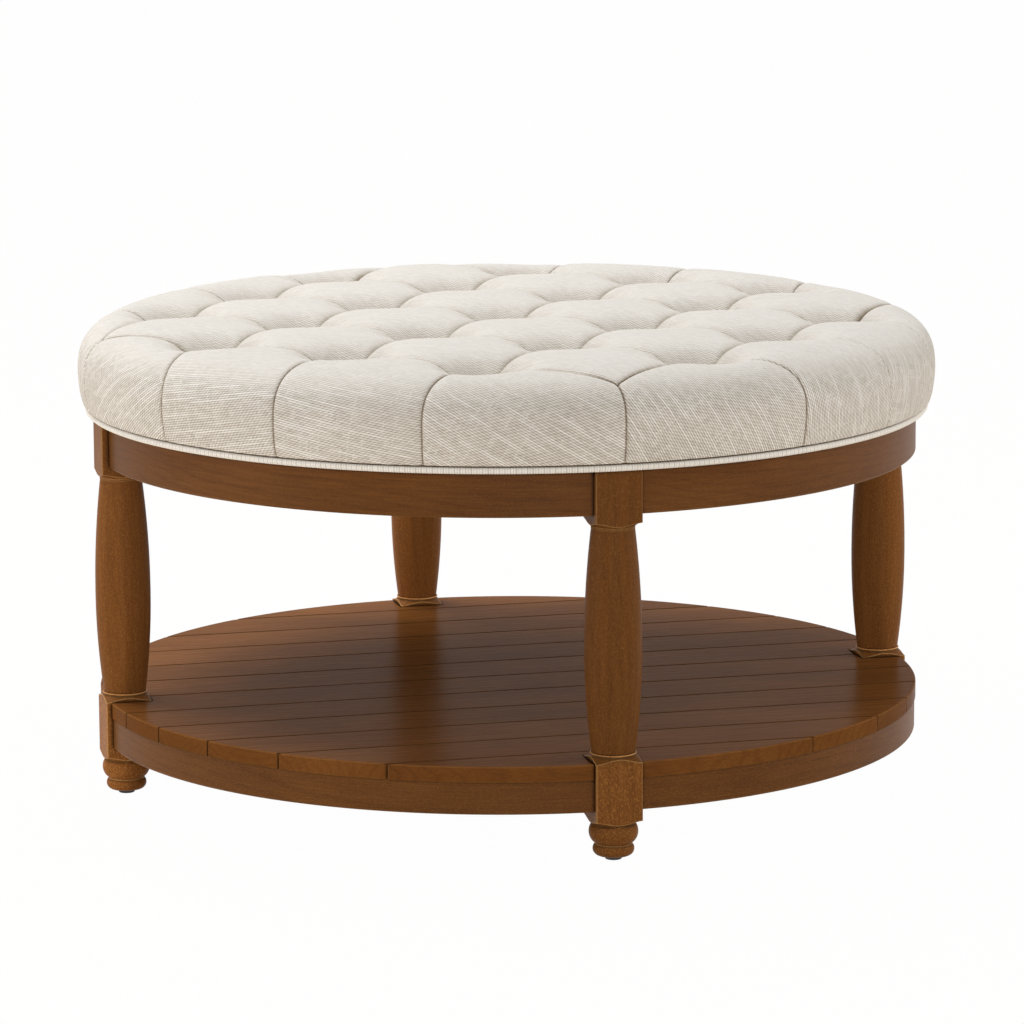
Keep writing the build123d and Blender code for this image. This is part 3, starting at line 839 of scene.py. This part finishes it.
def sawnWood(name, turned):
    material, add = emptyMaterial(name)
    parts = add("SeparateXYZ", placeInMillimetres(add)).outputs
    along, across = (parts[1], parts[0]) if turned else (parts[0], parts[1])
    lined = add("CombineXYZ", along, across, parts[2])
    streak = stretchedNoise(add, lined, bareWood["streakMm"], 4.0)
    marks = stretchedNoise(add, lined, bareWood["sawMarkMm"], 1.0)
    colour = add("ValToRGB", streak)
    setStops(colour, (0.35, bareWood["darkHex"]), (0.66, bareWood["lightHex"]))
    finishMaterial(add, add("Math MULTIPLY_ADD", marks, 0.7, streak), bareWood["bump"], {
        "Base Color": colour, "Roughness": bareWood["roughness"], "IOR": 1.5, "Specular IOR Level": 0.2})
    return material


# Seat board: birch plywood, sawn to a disc; its rim shows the plies as light and dark lines
plywood = {
    "lightHex": "#cdb084",
    "glueHex": "#7c5a36",
    "faceHex": "#c3a271",
    "plyMm": 1.7,
    "figureMm": (160.0, 5.0, 5.0),
    "roughness": 0.7,
    "bump": (0.5, 0.1),
}


def layeredPlywood(name):
    material, add = emptyMaterial(name)
    scaled = placeInMillimetres(add)
    height = add("SeparateXYZ", scaled).outputs[2]
    face = stretchedNoise(add, scaled, plywood["figureMm"], 4.0)
    wave = add("Math SINE", add("Math MULTIPLY", height, math.pi / plywood["plyMm"]))
    plies = add("MapRange", wave, -0.3, 0.4)
    edge = add("Mix", plies, plywood["glueHex"], plywood["lightHex"], data_type="RGBA")
    shade = add("MapRange", face, 0.3, 0.7, 0.78, 1.08)
    flat = add("VectorMath SCALE", linearFromHex(plywood["faceHex"])[:3], shade)
    upward = add("SeparateXYZ", add("NewGeometry").outputs["Normal"]).outputs[2]
    steep = add("Math GREATER_THAN", add("Math ABSOLUTE", upward), 0.5)
    colour = add("Mix", steep, edge, flat, data_type="RGBA")
    finishMaterial(add, face, plywood["bump"], {
        "Base Color": colour, "Roughness": plywood["roughness"], "IOR": 1.5, "Specular IOR Level": 0.2})
    return material


# Bolts, nuts, washers, screws and staples: steel, zinc plated and passivated; bright with a faint bloom
zinc = {
    "coolHex": "#c2c8cf",
    "warmHex": "#d0c6a8",
    "bloomMm": (6.0, 6.0, 6.0),
    "scratchMm": (0.4, 3.2, 0.4),
    "roughness": 0.34,
    "bump": (0.3, 0.03),
}


def platedSteel(name):
    material, add = emptyMaterial(name)
    scaled = placeInMillimetres(add)
    bloom = stretchedNoise(add, scaled, zinc["bloomMm"], 2.0)
    scratch = stretchedNoise(add, scaled, zinc["scratchMm"], 2.0)
    colour = add("Mix", bloom, zinc["coolHex"], zinc["warmHex"], data_type="RGBA")
    gloss = add("MapRange", scratch, 0.0, 1.0, zinc["roughness"] - 0.1, zinc["roughness"] + 0.14)
    finishMaterial(add, scratch, zinc["bump"], {"Base Color": colour, "Metallic": 1.0, "Roughness": gloss})
    return material


# Glides: nylon, injection moulded in black; satin with a fine spark-eroded grain
nylon = {
    "blackHex": "#17171a",
    "greyHex": "#26262a",
    "grainMm": (0.5, 0.5, 0.5),
    "roughness": 0.48,
    "bump": (0.5, 0.05),
}


def mouldedNylon(name):
    material, add = emptyMaterial(name)
    grain = stretchedNoise(add, placeInMillimetres(add), nylon["grainMm"], 2.0)
    colour = add("Mix", grain, nylon["blackHex"], nylon["greyHex"], data_type="RGBA")
    finishMaterial(add, grain, nylon["bump"], {
        "Base Color": colour, "Roughness": nylon["roughness"], "IOR": 1.53, "Specular IOR Level": 0.4})
    return material


# Tuft twine: polyester cord, waxed and laid from three strands
twine = {
    "paleHex": "#d8cfbb",
    "shadeHex": "#a3967c",
    "layMm": 1.6,
    "roughness": 0.8,
    "bump": (0.8, 0.15),
}


def laidTwine(name):
    material, add = emptyMaterial(name)
    parts = add("SeparateXYZ", placeInMillimetres(add)).outputs
    slant = add("Math MULTIPLY_ADD", parts[0], 1.0, parts[2])
    wave = add("Math SINE", add("Math MULTIPLY", slant, 2 * math.pi / twine["layMm"]))
    strand = add("MapRange", wave, -1.0)
    colour = add("Mix", strand, twine["shadeHex"], twine["paleHex"], data_type="RGBA")
    finishMaterial(add, strand, twine["bump"], {
        "Base Color": colour, "Roughness": twine["roughness"], "Specular IOR Level": 0.2})
    return material


# Dust cover: spunbonded polypropylene, black, stapled under the seat board; it sags and puckers a little
dust = {
    "blackHex": "#131314",
    "greyHex": "#2b2b2d",
    "fibreMm": (14.0, 0.8, 50.0),
    "dotMm": 3.0,
    "roughness": 0.85,
    "bump": (0.6, 0.12),
    "sagMm": 4.0,
    "puckerMm": 0.7,
    "hemMm": 12.0,
    "fadeMm": 45.0,  # how far the puckers reach in from the staples
    "staples": 36,
    "stapleWidthMm": 10.0,
    "stapleWireMm": 0.9,
    "stapleBendMm": 0.8,
    "stapleLegMm": 2.5,
    "stapleSides": 8,
    "gapShadeMm": 0.3,  # between the board and the hem
    "clothMm": 0.4,  # from the hem down to the cover
    "rings": 40,
}


def spunbonded(name):
    material, add = emptyMaterial(name)
    scaled = placeInMillimetres(add)
    parts = add("SeparateXYZ", scaled).outputs
    fibres = []
    for lean in (0.0, 1.1, 2.2):
        turned = add("VectorRotate", {0: scaled, "Angle": lean}, rotation_type="Z_AXIS")
        fibres.append(stretchedNoise(add, turned, dust["fibreMm"], 1.0))
    both = add("Math MAXIMUM", add("Math MAXIMUM", fibres[0], fibres[1]), fibres[2])
    waves = [add("Math SINE", add("Math MULTIPLY", parts[k], 2 * math.pi / dust["dotMm"])) for k in (0, 1)]
    dots = add("Math MULTIPLY", waves[0], waves[1])
    pressed = add("MapRange", dots, 0.45, 0.7)
    level = mixed(add, add("MapRange", both, 0.5, 0.75), (pressed, -0.5))
    colour = add("Mix", level, dust["blackHex"], dust["greyHex"], data_type="RGBA", clamp_factor=True)
    finishMaterial(add, level, dust["bump"], {
        "Base Color": colour, "Roughness": dust["roughness"], "Specular IOR Level": 0.15})
    return material


def makeDustCover():
    # A round of cloth with its hem turned in against the board, drawn up at each staple
    radius = dustRadius
    hem = seatLow[2] - dust["gapShadeMm"]
    level = hem - dust["clothMm"]
    across = np.linspace(0, radius, dust["rings"] + 1)[1:]
    turns = dust["staples"] * 6
    turn = fullTurn(turns)
    slack = (1 - np.cos(turn * dust["staples"])) / 2
    fade = np.exp((across - radius) / dust["fadeMm"])
    sag = dust["sagMm"] * (1 - (across / radius) ** 2)
    height = level - sag[:, None] - dust["puckerMm"] * fade[:, None] * slack
    rings = list(zip(across, height)) + [(radius - dust["hemMm"], np.full(turns, hem))]
    spots = [np.column_stack([reach * np.cos(turn), reach * np.sin(turn), z]) for reach, z in rings]
    spots = np.vstack(spots + [[[0, 0, level - dust["sagMm"]]]])
    faces = [(len(spots) - 1, (k + 1) % turns, k) for k in range(turns)]
    faces += tubeFaces(len(rings) - 1, turns, alongCorners)
    piece = smoothPiece("dust_sheet", spots, faces)
    piece.data.materials.append(spunbonded("spunbonded polypropylene, black"))
    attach(piece, "root")
    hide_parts("dust_cover")
    return piece


def makeStaples(material):
    # Each staple is a bent wire: its crown lies on the cloth, its two legs run up into the board
    half = dust["stapleWidthMm"] / 2
    bend = dust["stapleBendMm"]
    wire = dust["stapleWireMm"] / 2
    crown = seatLow[2] - dust["gapShadeMm"] - dust["clothMm"] - 0.1 - wire
    turn = np.linspace(0, math.pi / 2, 4)
    right = [(half - bend + bend * math.sin(a), bend - bend * math.cos(a)) for a in turn]
    right.append((half, dust["stapleLegMm"]))
    line = np.array([(-x, z) for x, z in right[::-1]] + right)
    slope = np.gradient(line, axis=0)
    slope /= distances(slope)[:, None]
    count = dust["stapleSides"]
    around = fullTurn(count)
    away = dustRadius - dust["hemMm"] / 2
    spots, faces = [], []
    for k in range(dust["staples"]):
        angle = 2 * math.pi * k / dust["staples"]
        outward = np.array((math.cos(angle), math.sin(angle), 0))
        sideways = np.array((-outward[1], outward[0], 0))
        start = len(spots)
        for (x, z), (dx, dz) in zip(line, slope):
            centre = outward * away + sideways * x + np.array((0, 0, crown + z))
            normal = -sideways * dz + np.array((0, 0, dx))
            spots += [centre + wire * (math.cos(a) * outward + math.sin(a) * normal) for a in around]
        faces += tubeFaces(len(line) - 1, count, alongCorners, start)
        faces.append(range(start + count - 1, start - 1, -1))
        faces.append(range(len(spots) - count, len(spots)))
    piece = smoothPiece("dust_sheet_staples", spots, faces)
    piece.data.materials.append(material)
    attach(piece, "root")
    return piece


# Turned fillets: the thin ring that the lathe leaves under the vase of each leg
fillet = {
    "radiusMm": 20.3,
    "sectionMm": 1.05,
    "flatness": 0.8,
    "aboveShelfMm": 6.9,
    "segments": 64,
    "sides": 12,
}


def makeFillets():
    segments, count = fillet["segments"], fillet["sides"]
    turn, around = fullTurn(segments), fullTurn(count)
    reach = fillet["radiusMm"] + fillet["sectionMm"] * np.cos(around)
    rise = shelfTop + fillet["aboveShelfMm"] + fillet["flatness"] * fillet["sectionMm"] * np.sin(around)
    ring = np.array(tubeFaces(segments, count, outwardCorners)) % (segments * count)
    spots, faces = [], []
    for side in sides:
        low, high = nodeBox(f"leg_{side}")
        x, y = ((low + high) / 2)[:2]
        faces += list(ring + len(spots))
        spots += [(x + r * math.cos(t), y + r * math.sin(t), z) for t in turn for r, z in zip(reach, rise)]
    piece = smoothPiece("vase_fillets", spots, faces)
    # a painted highlight: the ring is painted far lighter all round than the legs
    highlightedFillet = stainedWood("stained birch fillets, painted highlight", "legs", brightness=2.0, figure=0.3,
                         fleck=0.2, edgeWearAndHighlight=0.6, roughness=0.4, specular=0.05)
    piece.data.materials.append(highlightedFillet)
    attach(piece, "root")
    return piece


sawnAlong = sawnWood("bare birch, sawn", turned=False)
sawnAcross = sawnWood("bare birch, sawn, laid across", turned=True)
for level in ("seat", "shelf"):
    for side in sides:
        dressNode(f"{level}_brace_{side}", sawnAlong if side in ("front", "back") else sawnAcross)
for name in ("apron_dowels", "rim_dowels"):
    dressNode(name, sawnAlong)
for name in ("shelf_batten_left", "shelf_batten_right"):
    dressNode(name, sawnAcross)
dressNode("seat_board", layeredPlywood("birch plywood, sawn"))
plated = platedSteel("zinc plated steel")
for name in ("leg_bolts", "leg_washers", "leg_nuts", "seat_screws", "board_screws"):
    dressNode(name, plated)
dressNode("foot_glides", mouldedNylon("moulded nylon, black"))
dressNode("tuft_twines", laidTwine("waxed polyester twine"))
dustSheet = makeDustCover()
staplesPiece = makeStaples(plated)
makeFillets()
print("underside done")


# Camera, floor and light
camera = {
    "distance": 4.9149,
    "height": 1.1459,
    "aside": 0.0046,
    "turnDegrees": 14.541,
    "pitchDegrees": 10.269,
    "rollDegrees": 0.293,
    "focalPixels": 5114.3,
    "framePixels": 1024,
    "sensorMm": 36.0,
}


def placeCamera():
    data = bpy.data.cameras.new("camera")
    data.sensor_width = camera["sensorMm"]
    data.lens = camera["focalPixels"] * camera["sensorMm"] / camera["framePixels"]
    data.clip_start = 0.1
    data.clip_end = 60.0
    viewer = addObject("camera", data)
    turn = Matrix.Rotation(math.radians(-camera["turnDegrees"]), 4, "Z")
    spot = Matrix.Translation((camera["aside"], -camera["distance"], camera["height"]))
    tilt = Matrix.Rotation(math.radians(90 - camera["pitchDegrees"]), 4, "X")
    roll = Matrix.Rotation(math.radians(-camera["rollDegrees"]), 4, "Z")
    viewer.matrix_world = turn @ spot @ tilt @ roll
    bpy.context.scene.camera = viewer


def areaLight(name, place, size, power, aim=(0, 0, 0.3)):
    data = bpy.data.lights.new(name, "AREA")
    data.shape = "RECTANGLE"
    data.size, data.size_y = size
    data.energy = power
    lamp = addObject(name, data)
    lamp.location = place
    lamp.rotation_euler = (Vector(aim) - Vector(place)).to_track_quat("-Z", "Y").to_euler()


def whiteWhereSeen(add, dimStrength, seenStrength=1.0):
    # white to the camera and in reflections, dimmer as light on the object
    path = add("LightPath").outputs
    seen = add("Math MAXIMUM", path["Is Camera Ray"], path["Is Glossy Ray"])
    seen = add("Math MAXIMUM", seen, path["Is Transmission Ray"])
    return add("MapRange", seen, 0.0, 1.0, dimStrength, seenStrength)


def buildStage():
    world = bpy.data.worlds.new("studio")
    bpy.context.scene.world = world
    add = clearNodes(world)
    glow = add("Background", {"Color": (1, 1, 1, 1), "Strength": whiteWhereSeen(add, 0.43)})
    add("OutputWorld", glow)
    material, add = emptyMaterial("white studio floor")
    paint = add("BsdfDiffuse", "#f0e4d3")
    glow = add("Emission", {"Strength": 1.0})
    add("OutputMaterial", add("MixShader", whiteWhereSeen(add, 0.0, 0.985), paint, glow))
    mesh = bpy.data.meshes.new("floor")
    reach = 30.0
    corners = [(-reach, -reach, 0), (reach, -reach, 0), (reach, reach, 0), (-reach, reach, 0)]
    mesh.from_pydata(corners, [], [(0, 1, 2, 3)])
    mesh.materials.append(material)
    floor = addObject("floor", mesh)
    areaLight("back softbox", (-1.0, 1.4, 3.35), (2.4, 2.0), 88)
    areaLight("left softbox", (-3.2, -0.3, 0.9), (2.0, 1.4), 26)
    areaLight("right softbox", (2.8, -0.9, 1.2), (1.6, 1.8), 23)
    areaLight("front fill", (-0.4, -4.2, 0.6), (2.4, 0.8), 24, (0, 0, 0.2))


placeCamera()
buildStage()
bpy.context.scene.view_settings.view_transform = "Standard"
print("stage done")
